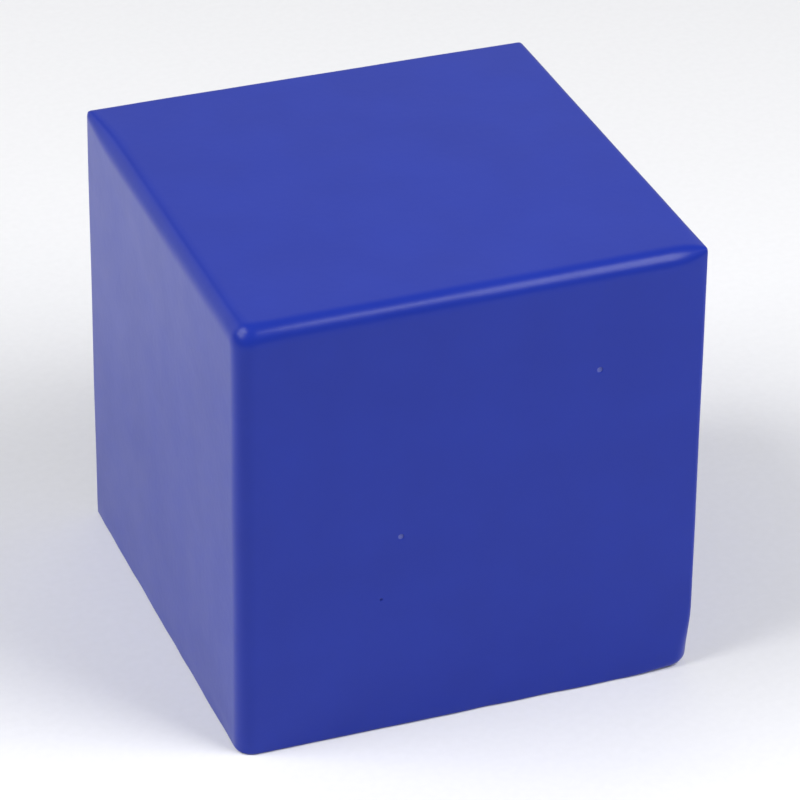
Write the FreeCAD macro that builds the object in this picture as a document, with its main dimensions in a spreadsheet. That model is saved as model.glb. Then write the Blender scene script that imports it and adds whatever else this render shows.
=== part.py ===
import FreeCAD, Part
import os
import Sketcher

# Foam stress cube, millimetres, +Z up, origin at the centre of the bottom face.
#
# A soft foam core fills a dense, colour-coated skin. The skin is moulded as an open-bottomed
# five-sided cavity film and a flat lid film that closes the bottom. The cavity film is kept as
# two bands, because its upper band travels down over the lower one when the cube is squeezed.

SHEET = "Sizes"
CELLS = [
    ("edge_length", 60.0),  # side of the cube, outside the skin
    ("skin_thickness", 0.8),  # dense integral skin with its colour coat
    ("edge_radius", 1.8),  # rounding of every outer edge that the cavity moulds
    ("band_height", 30.0),  # where the upper band of the skin meets the lower one
]
INSIDE = f"{SHEET}.edge_length - 2 * {SHEET}.skin_thickness"
INNER_RADIUS = f"{SHEET}.edge_radius - {SHEET}.skin_thickness"
NEAR = 1e-4


def make_sheet(doc):
    sheet = doc.addObject("Spreadsheet::Sheet", SHEET)
    for row, (alias, value) in enumerate(CELLS, start=1):
        sheet.set(f"A{row}", alias.replace("_", " "))
        sheet.set(f"B{row}", str(value))
        sheet.setAlias(f"B{row}", alias)
    doc.recompute()
    return sheet


def make_body(doc, name, height=None):
    """A body with its own label, standing at z = 0 or at the height expression."""
    body = doc.addObject("PartDesign::Body", name)
    body.Label = name
    body.Placement = FreeCAD.Placement()
    if height:
        body.setExpression("Placement.Base.z", height)
    return body


def origin_plane(body, role):
    return next(f for f in body.Origin.OriginFeatures if f.Role == role)


def square_sketch(body, name, sides):
    """A sketch on the body's XY plane with one centred square for each side expression."""
    sketch = body.newObject("Sketcher::SketchObject", name)
    sketch.AttachmentSupport = [(origin_plane(body, "XY_Plane"), "")]
    sketch.MapMode = "FlatFace"
    for number, side in enumerate(sides):
        add_square(sketch, f"square{number}", side, half=10.0 - number)
    body.Document.recompute()
    return sketch


def add_square(sketch, name, side, half):
    """Draws four lines, ties them into a square about the origin, and binds its side."""
    first = sketch.GeometryCount
    corners = [FreeCAD.Vector(x * half, y * half, 0) for x, y in ((-1, -1), (1, -1), (1, 1), (-1, 1))]
    for start, end in zip(corners, corners[1:] + corners[:1]):
        sketch.addGeometry(Part.LineSegment(start, end), False)
    for line in range(4):
        following = first + (line + 1) % 4
        sketch.addConstraint(Sketcher.Constraint("Coincident", first + line, 2, following, 1))
    for line, direction in enumerate(("Horizontal", "Vertical", "Horizontal", "Vertical")):
        sketch.addConstraint(Sketcher.Constraint(direction, first + line))
    sketch.addConstraint(Sketcher.Constraint("Symmetric", first, 1, first + 1, 2, -1, 1))
    for line, direction in ((first, "DistanceX"), (first + 1, "DistanceY")):
        number = sketch.addConstraint(Sketcher.Constraint(direction, line, 1, line, 2, 2 * half))
        label = f"{name}_{direction[-1].lower()}"
        sketch.renameConstraint(number, label)
        sketch.setExpression(f"Constraints.{label}", side)


def pad(body, sketch, name, length):
    feature = body.newObject("PartDesign::Pad", name)
    feature.Profile = sketch
    feature.setExpression("Length", length)
    body.Document.recompute()
    return feature


def edges_where(feature, wanted):
    """Names of the feature's edges whose two end points satisfy wanted(low end, high end)."""
    names = []
    for number, edge in enumerate(feature.Shape.Edges, start=1):
        ends = sorted((v.Point for v in edge.Vertexes), key=lambda p: p.z)
        if len(ends) == 2 and wanted(*ends):
            names.append(f"Edge{number}")
    return names


def upright_at(half):
    """Picks the upright edges at the corners of a square with this half side."""
    def wanted(low, high):
        at_corner = abs(abs(low.x) - half) < NEAR and abs(abs(low.y) - half) < NEAR
        return at_corner and high.z - low.z > NEAR
    return wanted


def upright_or_at_height(height):
    """Picks the upright edges and the edges that lie all round at this height."""
    def wanted(low, high):
        return high.z - low.z > NEAR or low.z > height - NEAR
    return wanted


def fillet(body, base, name, edges, radius):
    feature = body.newObject("PartDesign::Fillet", name)
    feature.Base = (base, edges)
    feature.setExpression("Radius", radius)
    body.Document.recompute()
    return feature


def make_foam_core(doc):
    """The soft block, the shape of the space inside the skin."""
    body = make_body(doc, "foam_core", f"{SHEET}.skin_thickness")
    sketch = square_sketch(body, "core_outline", [INSIDE])
    block = pad(body, sketch, "core_block", INSIDE)
    edges = edges_where(block, upright_or_at_height(block.Length.Value))
    fillet(body, block, "core_edges", edges, INNER_RADIUS)
    return body


def make_lid_skin(doc):
    """The flat film that the mould's lid forms, flush with the lower rim of the walls."""
    body = make_body(doc, "lid_skin")
    sketch = square_sketch(body, "lid_outline", [INSIDE])
    plate = pad(body, sketch, "lid_plate", f"{SHEET}.skin_thickness")
    edges = edges_where(plate, lambda low, high: high.z - low.z > NEAR)
    fillet(body, plate, "lid_corners", edges, INNER_RADIUS)
    return body


def make_lower_skin(doc, sheet):
    """The lower band of the four walls, down to the resting plane."""
    body = make_body(doc, "lower_skin")
    sketch = square_sketch(body, "wall_outline", [f"{SHEET}.edge_length", INSIDE])
    walls = pad(body, sketch, "wall_band", f"{SHEET}.band_height")
    outer_half = sheet.edge_length / 2
    outer = edges_where(walls, upright_at(outer_half))
    rounded = fillet(body, walls, "wall_outer_corners", outer, f"{SHEET}.edge_radius")
    inner = edges_where(rounded, upright_at(outer_half - sheet.skin_thickness))
    fillet(body, rounded, "wall_inner_corners", inner, INNER_RADIUS)
    return body


def make_upper_skin(doc):
    """The top face with the upper band of the walls, hollow and open below."""
    body = make_body(doc, "upper_skin", f"{SHEET}.band_height")
    sketch = square_sketch(body, "cap_outline", [f"{SHEET}.edge_length"])
    block = pad(body, sketch, "cap_block", f"{SHEET}.edge_length - {SHEET}.band_height")
    edges = edges_where(block, upright_or_at_height(block.Length.Value))
    rounded = fillet(body, block, "cap_edges", edges, f"{SHEET}.edge_radius")
    faces = enumerate(rounded.Shape.Faces, start=1)
    underside = next(f"Face{n}" for n, face in faces if face.BoundBox.ZMax < NEAR)
    hollow = body.newObject("PartDesign::Thickness", "cap_hollow")
    hollow.Base = (rounded, [underside])
    hollow.Reversed = True
    hollow.setExpression("Value", f"{SHEET}.skin_thickness")
    doc.recompute()
    return body


def check(doc, sheet, bodies):
    """Stops unless every feature built and the pieces fill the cube once, with no gap."""
    for feature in doc.Objects:
        if {"Invalid", "Error"} & set(feature.State):
            raise RuntimeError(f"{feature.Label} did not build: {feature.State}")
    for body in bodies:
        if body.Shape.isNull() or not body.Shape.isValid() or len(body.Shape.Solids) != 1:
            raise RuntimeError(f"{body.Label} is not one valid solid")
    edge, radius = sheet.edge_length, sheet.edge_radius
    cube = Part.makeBox(edge, edge, edge, FreeCAD.Vector(-edge / 2, -edge / 2, 0))
    moulded = [e for e in cube.Edges if e.BoundBox.ZMax > NEAR]
    whole = cube.makeFillet(radius, moulded).Volume
    filled = sum(body.Shape.Volume for body in bodies)
    if abs(filled - whole) > 1.0:
        raise RuntimeError(f"the pieces hold {filled:.1f} mm3 of the cube's {whole:.1f} mm3")


def main():
    doc = FreeCAD.newDocument("stress_cube")
    sheet = make_sheet(doc)
    bodies = [
        make_foam_core(doc),
        make_lid_skin(doc),
        make_lower_skin(doc, sheet),
        make_upper_skin(doc),
    ]
    doc.recompute()
    check(doc, sheet, bodies)
    os.makedirs("parts", exist_ok=True)
    for body in bodies:
        body.Shape.exportStep(os.path.join("parts", f"{body.Label}.step"))
        print(f"{body.Label}: {body.Shape.Volume:.1f} mm3")


main()
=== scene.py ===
import math

import bmesh
import bpy
from mathutils import Matrix, Vector, noise


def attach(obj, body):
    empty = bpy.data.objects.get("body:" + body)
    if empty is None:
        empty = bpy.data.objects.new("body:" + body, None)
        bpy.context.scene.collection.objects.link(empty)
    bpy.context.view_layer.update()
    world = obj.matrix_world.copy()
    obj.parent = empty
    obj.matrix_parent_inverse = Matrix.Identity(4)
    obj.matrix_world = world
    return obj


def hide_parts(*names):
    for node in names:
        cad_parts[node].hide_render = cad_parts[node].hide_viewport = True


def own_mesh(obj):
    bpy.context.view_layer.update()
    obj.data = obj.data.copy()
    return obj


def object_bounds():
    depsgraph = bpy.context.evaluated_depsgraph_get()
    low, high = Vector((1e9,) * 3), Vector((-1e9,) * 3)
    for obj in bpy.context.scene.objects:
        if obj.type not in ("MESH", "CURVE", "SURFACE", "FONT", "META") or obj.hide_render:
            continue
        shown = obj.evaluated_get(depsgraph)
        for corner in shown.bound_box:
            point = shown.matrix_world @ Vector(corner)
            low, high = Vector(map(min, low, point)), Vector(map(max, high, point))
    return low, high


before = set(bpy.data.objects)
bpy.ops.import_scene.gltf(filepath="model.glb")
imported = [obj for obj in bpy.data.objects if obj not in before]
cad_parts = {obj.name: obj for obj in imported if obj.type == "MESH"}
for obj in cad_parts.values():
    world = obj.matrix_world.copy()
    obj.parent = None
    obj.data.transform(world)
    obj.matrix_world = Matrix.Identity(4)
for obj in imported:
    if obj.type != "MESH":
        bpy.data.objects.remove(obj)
cad_low, cad_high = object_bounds()
MIDDLE = (cad_low + cad_high) / 2
CUBE_SIZE = cad_high - cad_low

# A moulded foam stress cube: a pale foam block inside a blue skin, which is one five-sided film
# with a flat lid film below. All three flatten together when the cube is squeezed.

MM = 0.001
SKIN = 0.8 * MM  # dense foam and colour coat together
FULLNESS = 2.5  # 2 rounds an edge by a circle; more keeps its middle tight and its shoulders long
SOFT_RADIUS = 2.7 * MM  # the upright edge at front left, and the upper edges along front and left
CRISP_RADIUS = 0.8 * MM  # the other upright and upper edges
RIM_RADIUS = 0.4 * MM  # rounding round the bottom
EDGE_CHANGE = 9.0 * MM  # how far the softness reaches onto the faces
FRONT_TAPER = 4.5 * MM  # how far from its crisp end the soft upper edge at the front sharpens
LEFT_TAPER = 12.0 * MM  # and the one at the left
SEAM_DEPTH = 0.12 * MM  # the parting line on the underside
BOND_GAP = 0.02 * MM  # keeps the foam's surface off the skin's inner one
SHARP = 0.02 * MM  # rounding of the edges inside the skin that are not rounded

# Mesh lines: crowded where an edge rounds, then evenly spaced.
EDGE_LINES = [s * MM for s in (0, 0.1, 0.2, 0.32, 0.5, 0.65, 0.8)]
EDGE_LINES += [k * 0.25 * MM for k in range(4, 13)]
EDGE_LINES += [s * MM for s in (3.3, 3.6, 4.0, 4.4, 4.9, 5.5, 6.3, 7.3)]
LINE_SPACING = 1.4 * MM

# Corners that came out of the mould rounder than the rest: which one, how far the softness
# reaches along the edges, and the radii there of the upright edge and of the level ones.
SOFT_CORNERS = [
    ((0, 0, 1), 6.0 * MM, 3.1 * MM, 3.1 * MM),
    ((1, 0, 0), 9.0 * MM, 3.0 * MM, 1.7 * MM),
]

# How far each corner of the block stands from a true cube's, in millimetres: rounded from a
# fit to the photo's outline, and a third of the numbers then changed. The bottom one
# at the back right is unseen.
CORNER_OFFSETS = {
    (0, 0, 0): (-0.05, -0.05, 0.0),
    (1, 0, 0): (-0.1, -0.4, 0.0),
    (0, 1, 0): (-0.15, -0.35, 0.0),
    (1, 1, 0): (0.0, 0.0, 0.0),
    (0, 0, 1): (0.15, -0.2, -0.05),
    (1, 0, 1): (-0.15, 0.2, 0.1),
    (0, 1, 1): (0.25, -0.1, 0.0),
    (1, 1, 1): (-0.25, 0.05, -0.1),
}
HOLLOW = 0.12 * MM  # how far each face sinks towards its middle
RIPPLE = 0.05 * MM  # slow unevenness of the faces
RIPPLE_LENGTH = 14.0 * MM
RIM_RIPPLE = 0.09 * MM  # the bottom rim wavers, as trimmed flash does
RIM_RIPPLE_LENGTH = 4.5 * MM
RIM_RIPPLE_START = Vector((3.1, 7.7, 1.9))  # keeps it apart from the faces' ripple
RIM_REACH = 3.0 * MM  # how far up the walls the wavering shows

# Pinholes: side, place across and up the side, radius, depth in millimetres, and whether the
# pale foam shows in it. The places were worked out from the photo through a fitted camera and
# then moved a little.
PINHOLES = [
    ("front", 16.15, 45.9, 0.4, 0.14, True),
    ("front", -9.25, 27.7, 0.4, 0.14, True),
    ("front", -11.75, 19.2, 0.2, 0.2, False),
]
# The rings of a pinhole, from the face round it to its floor: radius and depth, as shares of
# the pinhole's own.
PIT_RINGS = [(2.4, 0.0), (1.6, 0.0), (1.2, 0.0), (1.0, 0.1), (0.85, 0.5), (0.7, 0.9), (0.4, 1.0)]
THIN_COAT_WITHIN = 0.8  # share of the radius inside which the foam shows through
COAT_SLOT = 0
THIN_COAT_SLOT = 1


# ---- shape -------------------------------------------------------------------------------

def smooth(share):
    share = min(max(share, 0.0), 1.0)
    return share * share * (3 - 2 * share)


def eased(share):
    """Rises from 0 at once and levels off at 1."""
    share = min(max(share, 0.0), 1.0)
    return share * (2 - share)


def mesh_lines(low, high):
    """Places of the mesh lines from one face to the opposite one."""
    near = [low + step for step in EDGE_LINES]
    far = [high - step for step in reversed(EDGE_LINES)]
    count = round((far[0] - near[-1]) / LINE_SPACING)
    step = (far[0] - near[-1]) / count
    return near + [near[-1] + step * k for k in range(1, count)] + far


LINES = [mesh_lines(low, high) for low, high in zip(cad_low, cad_high)]


def lines_within(low, high):
    """The mesh lines along each axis that lie in a smaller box."""
    slack = 0.001 * MM
    return [
        [place for place in places if low[axis] - slack <= place <= high[axis] + slack]
        for axis, places in enumerate(LINES)
    ]


def onto_curve(lean):
    """Scales a vector onto the unit curve, or surface, that rounds an edge or corner."""
    length = sum(abs(part) ** FULLNESS for part in lean) ** (1 / FULLNESS)
    return lean / length if length > 0 else lean


def rounded(point, low, high, radius):
    """Moves a point of a sharp box onto one whose edges all round by one radius.

    Also gives the direction out of the rounded box there."""
    core = Vector([min(max(point[k], low[k] + radius), high[k] - radius) for k in range(3)])
    lean = onto_curve(point - core)
    return core + lean * radius, lean.normalized()


def rounded_with_rim(point, low, high, upright, level):
    """As rounded, but the upright edges and the level ones round by two radii."""
    wide = max(upright, level)
    core = [min(max(point[k], low[k] + wide), high[k] - wide) for k in range(2)]
    lean = Vector((point.x - core[0], point.y - core[1]))
    ring = max(abs(lean.x), abs(lean.y))  # the concentric square that the point lies on
    lean = onto_curve(lean)
    inner_ring = min(ring, wide - level)
    inner_z = min(max(point.z, low.z + level), high.z - level)
    turn = onto_curve(Vector((ring - inner_ring, point.z - inner_z)))
    reach = inner_ring + level * turn.x
    place = Vector((core[0] + lean.x * reach, core[1] + lean.y * reach, inner_z + level * turn.y))
    outward = Vector((lean.x * turn.x, lean.y * turn.x, turn.y))
    return place, outward.normalized()


def untrue(point):
    """How far the moulded block departs from a true cube at a point."""
    share = [(point[k] - cad_low[k]) / (cad_high[k] - cad_low[k]) for k in range(3)]
    offset = Vector((0, 0, 0))
    for corner, moved in CORNER_OFFSETS.items():
        weight = math.prod(s if c else 1 - s for s, c in zip(share, corner))
        offset += Vector(moved) * (weight * MM)
    return offset


def uneven(point, outward):
    """The hollow and the ripples of a face, along its outward direction."""
    share = [2 * (point[k] - cad_low[k]) / (cad_high[k] - cad_low[k]) - 1 for k in range(3)]
    flatness = [1 - min(abs(s), 1) ** 2 for s in share]
    across = sorted(flatness)[1:]
    depth = -HOLLOW * across[0] * across[1]
    depth += RIPPLE * noise.noise(point / RIPPLE_LENGTH)
    rim = smooth(1 - (point.z - cad_low.z) / RIM_REACH)
    depth += RIM_RIPPLE * rim * noise.noise(point / RIM_RIPPLE_LENGTH + RIM_RIPPLE_START)
    moved = outward * depth
    if outward.z < -0.5:
        moved.z = abs(moved.z)  # the resting face never goes below the table
    return moved


def radii(point):
    """Radii of the upright and of the level edges near a point."""
    from_left, from_front = point.x - cad_low.x, point.y - cad_low.y
    from_right, from_back = cad_high.x - point.x, cad_high.y - point.y
    soft_upright = point.x < MIDDLE.x and point.y < MIDDLE.y
    upright = SOFT_RADIUS if soft_upright else CRISP_RADIUS
    front = smooth(1 - from_front / EDGE_CHANGE) * eased(from_right / FRONT_TAPER)
    left = smooth(1 - from_left / EDGE_CHANGE) * eased(from_back / LEFT_TAPER)
    level = CRISP_RADIUS + (SOFT_RADIUS - CRISP_RADIUS) * max(front, left)
    if point.z < MIDDLE.z:
        level = RIM_RADIUS
    for corner, reach, corner_upright, corner_level in SOFT_CORNERS:
        where = Vector([(cad_high if end else cad_low)[k] for k, end in enumerate(corner)])
        share = smooth(1 - (point - where).length / reach)
        upright += (corner_upright - upright) * share
        level += (corner_level - level) * share
    return upright, level


def shaped(point, low, high, less=0.0):
    """Rounds a point of a sharp box as the moulded block is rounded, with its radii less an amount."""
    upright, level = [max(radius - less, SHARP) for radius in radii(point)]
    if point.z < MIDDLE.z:
        return rounded_with_rim(point, low, high, upright, level)
    height = smooth(1 - (cad_high.z - point.z) / EDGE_CHANGE)
    return rounded(point, low, high, upright + (level - upright) * height)


def moulded(point):
    """Where a point of the sharp outer cube lies on the real one."""
    place, outward = shaped(point, cad_low, cad_high)
    return place + untrue(point) + uneven(point, outward)


def inside(gap=0.0):
    """The corners of the box inside the skin."""
    return Vector([c + SKIN + gap for c in cad_low]), Vector([c - SKIN - gap for c in cad_high])


def lined(point, gap=0.0):
    """Where a point of the sharp inner box lies on the skin's inner surface."""
    place, outward = shaped(point, *inside(), less=SKIN)
    return place + untrue(point) - outward * gap


class Surface:
    """A mesh under construction, whose quads share the corners that lie at one sharp place."""

    def __init__(self):
        self.mesh = bmesh.new()
        self.corners = {}

    def corner(self, point, place):
        key = tuple(round(c / (0.001 * MM)) for c in point)
        if key not in self.corners:
            self.corners[key] = self.mesh.verts.new(place(point))
        return self.corners[key]

    def side(self, lines, axis, end, place, wanted=None, inward=False):
        """Adds one side of the box that the lines span, its quads facing outwards."""
        level = lines[axis][-1 if end else 0]
        u, v = (axis + 1) % 3, (axis + 2) % 3
        for low_u, high_u in zip(lines[u], lines[u][1:]):
            for low_v, high_v in zip(lines[v], lines[v][1:]):
                points = []
                for at_u, at_v in ((low_u, low_v), (high_u, low_v), (high_u, high_v), (low_u, high_v)):
                    point = Vector((0, 0, 0))
                    point[axis], point[u], point[v] = level, at_u, at_v
                    points.append(point)
                if wanted and not wanted(sum(points, Vector((0, 0, 0))) / 4):
                    continue
                if bool(end) == inward:
                    points.reverse()
                self.mesh.faces.new([self.corner(point, place) for point in points])

    def finish(self, name, materials):
        """Makes the object, smooth-shaded, with the mesh's faces all pointing out of the solid."""
        bmesh.ops.recalc_face_normals(self.mesh, faces=self.mesh.faces)
        data = bpy.data.meshes.new(name)
        self.mesh.to_mesh(data)
        self.mesh.free()
        data.shade_smooth()
        for material in materials:
            data.materials.append(material)
        piece = bpy.data.objects.new(name, data)
        bpy.context.scene.collection.objects.link(piece)
        return piece


WALLS = [(0, 0), (0, 1), (1, 0), (1, 1)]
TOP = (2, 1)
BOTTOM = (2, 0)


def in_lid(point):
    """True where the underside belongs to the lid film and not to the walls' rim."""
    low, high = inside()
    return low.x < point.x < high.x and low.y < point.y < high.y


def underside(point):
    """The underside's surface, pulled in along the parting line."""
    place = moulded(point)
    _, high = inside()
    if abs(max(abs(point.x), abs(point.y)) - high.x) < 0.01 * MM:
        place.z += SEAM_DEPTH
    return place


def pinhole(surface, side, across, up, radius, depth, shows_foam):
    """Sinks a round pit: a patch of nine quads gives way to rings that narrow to its floor."""
    axis, end = {"left": (0, 0), "right": (0, 1), "front": (1, 0), "back": (1, 1)}[side]
    other = 1 - axis
    level = LINES[axis][-1 if end else 0]
    outward = Vector((0, 0, 0))
    outward[axis] = 1 if end else -1

    def at(u, v):
        point = Vector((0, 0, v))
        point[axis], point[other] = level, u
        return point

    centre = (across * MM, cad_low.z + up * MM)
    columns = patch(LINES[other], centre[0])
    rows = patch(LINES[2], centre[1])
    edge = [(columns[k], rows[0]) for k in range(3)]
    edge += [(columns[3], rows[k]) for k in range(3)]
    edge += [(columns[3 - k], rows[3]) for k in range(3)]
    edge += [(columns[0], rows[3 - k]) for k in range(3)]
    for u in columns[1:3]:
        for v in rows[1:3]:
            surface.mesh.verts.remove(surface.corner(at(u, v), moulded))
    ring = [surface.corner(at(u, v), moulded) for u, v in edge]
    turns = [math.atan2(v - centre[1], u - centre[0]) for u, v in edge]
    floor_slot = THIN_COAT_SLOT if shows_foam else COAT_SLOT
    for share, sunk in PIT_RINGS:
        inner = []
        for turn in turns:
            point = at(centre[0] + radius * MM * share * math.cos(turn),
                       centre[1] + radius * MM * share * math.sin(turn))
            inner.append(surface.mesh.verts.new(moulded(point) - outward * (depth * MM * sunk)))
        for k in range(len(ring)):
            following = (k + 1) % len(ring)
            face = surface.mesh.faces.new([ring[k], ring[following], inner[following], inner[k]])
            face.material_index = floor_slot if share < THIN_COAT_WITHIN else COAT_SLOT
        ring = inner
    surface.mesh.faces.new(ring).material_index = floor_slot


def patch(places, centre):
    """The four mesh lines round a place that bound a patch three cells wide."""
    cell = max(k for k, place in enumerate(places) if place <= centre)
    return places[cell - 1:cell + 3]


# ---- materials ---------------------------------------------------------------------------

class Nodes:
    """A material's node tree, with short calls to add a node and to link it."""

    def __init__(self, name):
        self.material = bpy.data.materials.new(name)
        self.material.use_nodes = True
        self.tree = self.material.node_tree
        self.shader = self.tree.nodes["Principled BSDF"]

    def add(self, kind, settings=None, values=None):
        node = self.tree.nodes.new(kind)
        for name, value in (settings or {}).items():
            setattr(node, name, value)
        for name, value in (values or {}).items():
            node.inputs[name].default_value = value
        return node

    def link(self, source, target):
        self.tree.links.new(source, target)

    def millimetres(self, piece_size):
        """Coordinates in millimetres that stay with the piece when it flattens."""
        place = self.add("ShaderNodeTexCoord")
        scale = self.add("ShaderNodeVectorMath", {"operation": "MULTIPLY"})
        scale.inputs[1].default_value = [size / MM for size in piece_size]
        self.link(place.outputs["Generated"], scale.inputs[0])
        return scale.outputs[0]

    def noise(self, place, length, detail=2.0):
        """Noise whose blotches are about length millimetres across."""
        node = self.add("ShaderNodeTexNoise", values={"Scale": 1 / length, "Detail": detail})
        self.link(place, node.inputs["Vector"])
        return node.outputs["Fac"]

    def ramp(self, source, low=0.0, high=1.0):
        """Maps noise, whose values crowd round one half, to a range of plain numbers."""
        node = self.add("ShaderNodeMapRange", {"interpolation_type": "SMOOTHSTEP"}, {
            "From Min": 0.2, "From Max": 0.8, "To Min": low, "To Max": high})
        self.link(source, node.inputs["Value"])
        return node.outputs["Result"]

    def blend(self, share, first, second):
        node = self.add("ShaderNodeMix", {"data_type": "RGBA"})
        colours = [socket for socket in node.inputs if socket.type == "RGBA"]
        colours[0].default_value = (*first, 1)
        colours[1].default_value = (*second, 1)
        self.link(share, node.inputs["Factor"])
        return next(socket for socket in node.outputs if socket.type == "RGBA")

    def bump(self, height, distance, strength):
        node = self.add("ShaderNodeBump", values={"Strength": strength, "Distance": distance})
        self.link(height, node.inputs["Height"])
        return node.outputs["Normal"]


BLUE = (0.012, 0.032, 0.343)
DEEP_BLUE = (0.011, 0.029, 0.318)
THIN_BLUE = (0.06, 0.08, 0.37)
PALE_BLUE = (0.11, 0.13, 0.42)
FOAM_SHADE = (0.44, 0.43, 0.5)
FOAM_PALE = (0.62, 0.6, 0.66)
LEAST_ROUGH, MOST_ROUGH = 0.285, 0.325  # less leaves faint marks in denoised renders
# Sizes of the surface patterns in millimetres, and the heights of the bumps.
MOTTLE, GLOSS_PATCH, PEEL, BLOTCH = 9.0, 5.0, 0.9, 0.3
PEEL_HEIGHT, CELL_HEIGHT = 0.02 * MM, 0.2 * MM
CELLS_PER_MM = 2.2


def skin_material(name, size):
    """Satin blue coat on smooth moulded foam, faintly mottled, with a fine orange peel."""
    nodes = Nodes(name)
    place = nodes.millimetres(size)
    mottle = nodes.noise(place, MOTTLE, detail=3.0)
    nodes.link(nodes.blend(nodes.ramp(mottle), BLUE, DEEP_BLUE), nodes.shader.inputs["Base Color"])
    gloss = nodes.ramp(nodes.noise(place, GLOSS_PATCH), LEAST_ROUGH, MOST_ROUGH)
    nodes.link(gloss, nodes.shader.inputs["Roughness"])
    peel = nodes.bump(nodes.noise(place, PEEL, detail=0.0), PEEL_HEIGHT, 0.3)
    nodes.link(peel, nodes.shader.inputs["Normal"])
    nodes.shader.inputs["IOR"].default_value = 1.47
    nodes.shader.inputs["Specular IOR Level"].default_value = 0.25
    nodes.shader.inputs["Sheen Weight"].default_value = 0.19
    nodes.shader.inputs["Sheen Roughness"].default_value = 0.35
    return nodes.material


def thin_coat_material(name, size):
    """The coat where it is so thin that the pale foam shows through."""
    nodes = Nodes(name)
    place = nodes.millimetres(size)
    blotches = nodes.ramp(nodes.noise(place, BLOTCH))
    nodes.link(nodes.blend(blotches, THIN_BLUE, PALE_BLUE), nodes.shader.inputs["Base Color"])
    nodes.shader.inputs["Roughness"].default_value = 0.6
    return nodes.material


def foam_material(name, size):
    """Pale open-celled foam, its cells a few tenths of a millimetre across, with painted shade
    darkening each cell's hollow.
    """
    nodes = Nodes(name)
    place = nodes.millimetres(size)
    cells = nodes.add("ShaderNodeTexVoronoi", values={"Scale": CELLS_PER_MM, "Randomness": 1.0})
    nodes.link(place, cells.inputs["Vector"])
    # painted shade: the colour darkens to FOAM_SHADE towards each cell's middle, where the bump makes
    # its hollow
    depth = nodes.ramp(cells.outputs["Distance"])
    nodes.link(nodes.blend(depth, FOAM_SHADE, FOAM_PALE), nodes.shader.inputs["Base Color"])
    nodes.link(nodes.bump(cells.outputs["Distance"], CELL_HEIGHT, 0.8), nodes.shader.inputs["Normal"])
    nodes.shader.inputs["Roughness"].default_value = 0.9
    return nodes.material


# ---- pieces ------------------------------------------------------------------------------

def make_cavity_skin(coat, thin_coat):
    """The film on the top and the four walls, a closed shell with the block's space inside."""
    surface = Surface()
    for axis, end in WALLS + [TOP]:
        surface.side(LINES, axis, end, moulded)
    surface.side(LINES, *BOTTOM, underside, wanted=lambda centre: not in_lid(centre))
    inner = lines_within(*inside())
    inner[2].insert(0, cad_low.z)
    for axis, end in WALLS + [TOP]:
        surface.side(inner, axis, end, lined, inward=True)
    for hole in PINHOLES:
        pinhole(surface, *hole)
    return surface.finish("cavity_skin", [coat, thin_coat])


def make_lid_skin(coat):
    """The flat film on the underside, between the walls' rims."""
    surface = Surface()
    low, _ = inside()
    lines = lines_within(*inside())
    lines[2] = [cad_low.z, low.z]

    def place(point):
        return underside(point) if point.z < low.z / 2 else lined(point)

    for axis, end in WALLS + [TOP, BOTTOM]:
        surface.side(lines, axis, end, place)
    return surface.finish("lid_film", [coat])


def make_foam_block(foam):
    """The soft block that fills the skin."""
    surface = Surface()
    lines = lines_within(*inside())
    for axis, end in WALLS + [TOP, BOTTOM]:
        surface.side(lines, axis, end, lambda point: lined(point, BOND_GAP))
    return surface.finish("foam_block", [foam])


def squeezes(piece, nodes):
    """The piece stands on the base and moves with it, in place of the CAD parts that it covers."""
    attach(piece, "base")
    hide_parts(*nodes)
    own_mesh(piece)


coat = skin_material("blue_coat", CUBE_SIZE)
lid_coat = skin_material("blue_lid_coat", Vector((CUBE_SIZE.x, CUBE_SIZE.y, SKIN)))
foam = foam_material("pale_foam", CUBE_SIZE)

thin_coat = thin_coat_material("thin_blue_coat", CUBE_SIZE)
squeezes(make_cavity_skin(coat, thin_coat), ["upper_skin", "lower_skin"])
squeezes(make_lid_skin(lid_coat), ["lid_skin"])
squeezes(make_foam_block(foam), ["foam_core"])


# ---- studio ------------------------------------------------------------------------------

# The camera is as a fit to the photo's outline gave it.
CAMERA_DIRECTION = (-20.84, 31.11)  # azimuth and elevation in degrees
CAMERA_ROLL = math.radians(0.59)
CAMERA_LENS = 188.1
CAMERA_DISTANCE = 528.7  # in millimetres, as are the next two
CAMERA_RIGHT = 1.71  # how far the camera stands beside and below the line to the middle
CAMERA_DOWN = 1.67

# Name, azimuth and elevation in degrees, distance and side in metres, power in watts. The
# powers were tuned against the photo's faces.
LIGHTS = [
    ("right_softbox", 45.5, 46, 0.6, 0.33, 2.7),
    ("left_softbox", -93, 48, 0.8, 0.5, 4.85),
    ("rear_softbox", -145, 17, 0.8, 0.5, 0.6),
    ("backdrop", 159, 31, 1.2, 1.0, 1.1),
]
WORLD_STRENGTH = 0.18
WORLD_COLOUR = (0.93, 0.95, 1.0)
FLOOR_REACH = 4.0
PAPER_GREY = (0.86, 0.86, 0.87)
PAPER_WHITE = (0.88, 0.88, 0.89)
PAPER_GRAIN = 900.0  # specks in a metre


def direction(azimuth, elevation):
    """Unit vector from the cube towards a viewer: azimuth 0 is in front, on the -Y side."""
    turn, rise = math.radians(azimuth), math.radians(elevation)
    return Vector((math.sin(turn) * math.cos(rise), -math.cos(turn) * math.cos(rise), math.sin(rise)))


def aim(thing, towards):
    thing.rotation_mode = "QUATERNION"
    thing.rotation_quaternion = towards.to_track_quat("-Z", "Y")


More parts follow.
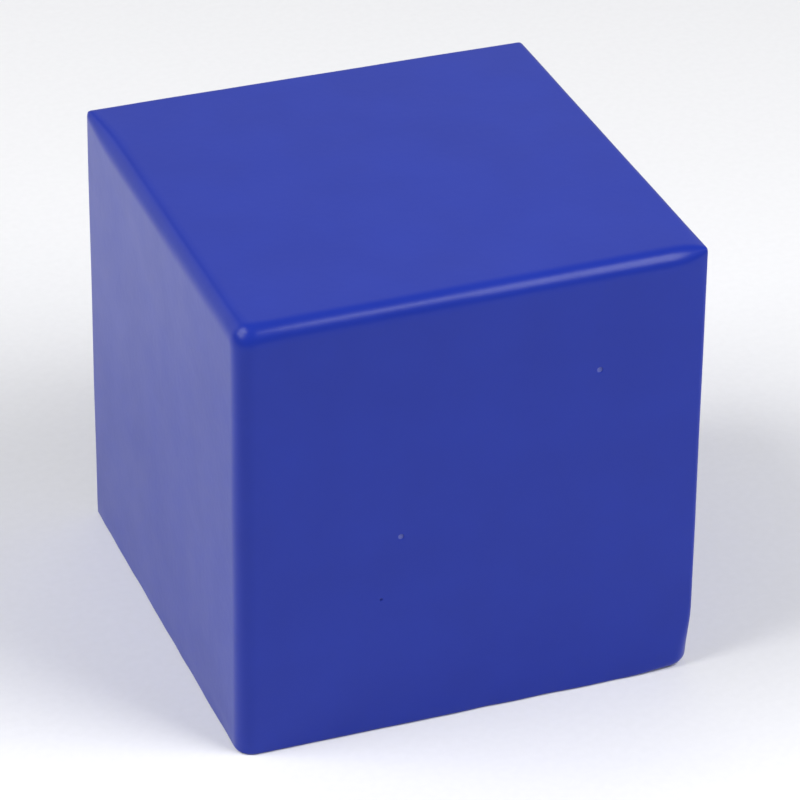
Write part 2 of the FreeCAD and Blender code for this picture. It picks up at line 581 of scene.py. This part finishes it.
def make_camera():
    """A long lens that looks down on the front and left faces, rolled by half a degree."""
    back = direction(*CAMERA_DIRECTION)
    level = Vector((0, 0, 1)).cross(back).normalized()
    rise = back.cross(level)
    across = level * math.cos(CAMERA_ROLL) + rise * math.sin(CAMERA_ROLL)
    data = bpy.data.cameras.new("camera")
    data.lens = CAMERA_LENS
    data.sensor_width = 36
    data.clip_start = 10 * MM
    camera = bpy.data.objects.new("camera", data)
    camera.matrix_world = Matrix((across, back.cross(across), back)).transposed().to_4x4()
    aside = level * CAMERA_RIGHT * MM - rise * CAMERA_DOWN * MM
    camera.location = MIDDLE + aside + back * CAMERA_DISTANCE * MM
    bpy.context.scene.collection.objects.link(camera)
    bpy.context.scene.camera = camera


def make_light(name, azimuth, elevation, distance, size, power):
    data = bpy.data.lights.new(name, "AREA")
    data.shape = "SQUARE"
    data.size = size
    data.energy = power
    light = bpy.data.objects.new(name, data)
    back = direction(azimuth, elevation)
    light.location = MIDDLE + back * distance
    aim(light, -back)
    bpy.context.scene.collection.objects.link(light)


def make_floor():
    nodes = Nodes("floor_paper")
    place = nodes.add("ShaderNodeTexCoord")
    grain = nodes.add("ShaderNodeTexNoise", values={"Scale": PAPER_GRAIN})
    nodes.link(place.outputs["Object"], grain.inputs["Vector"])
    nodes.link(nodes.blend(nodes.ramp(grain.outputs["Fac"]), PAPER_GREY, PAPER_WHITE),
               nodes.shader.inputs["Base Color"])
    nodes.shader.inputs["Roughness"].default_value = 0.9
    data = bpy.data.meshes.new("floor")
    corners = [(x * FLOOR_REACH, y * FLOOR_REACH, 0) for x, y in ((-1, -1), (1, -1), (1, 1), (-1, 1))]
    data.from_pydata(corners, [], [(0, 1, 2, 3)])
    data.materials.append(nodes.material)
    floor = bpy.data.objects.new("floor", data)
    bpy.context.scene.collection.objects.link(floor)


def make_world():
    world = bpy.data.worlds.new("studio")
    world.use_nodes = True
    background = world.node_tree.nodes["Background"]
    background.inputs["Color"].default_value = (*WORLD_COLOUR, 1)
    background.inputs["Strength"].default_value = WORLD_STRENGTH
    bpy.context.scene.world = world


make_camera()
make_floor()
make_world()
for light in LIGHTS:
    make_light(*light)
bpy.context.scene.view_settings.view_transform = "Standard"
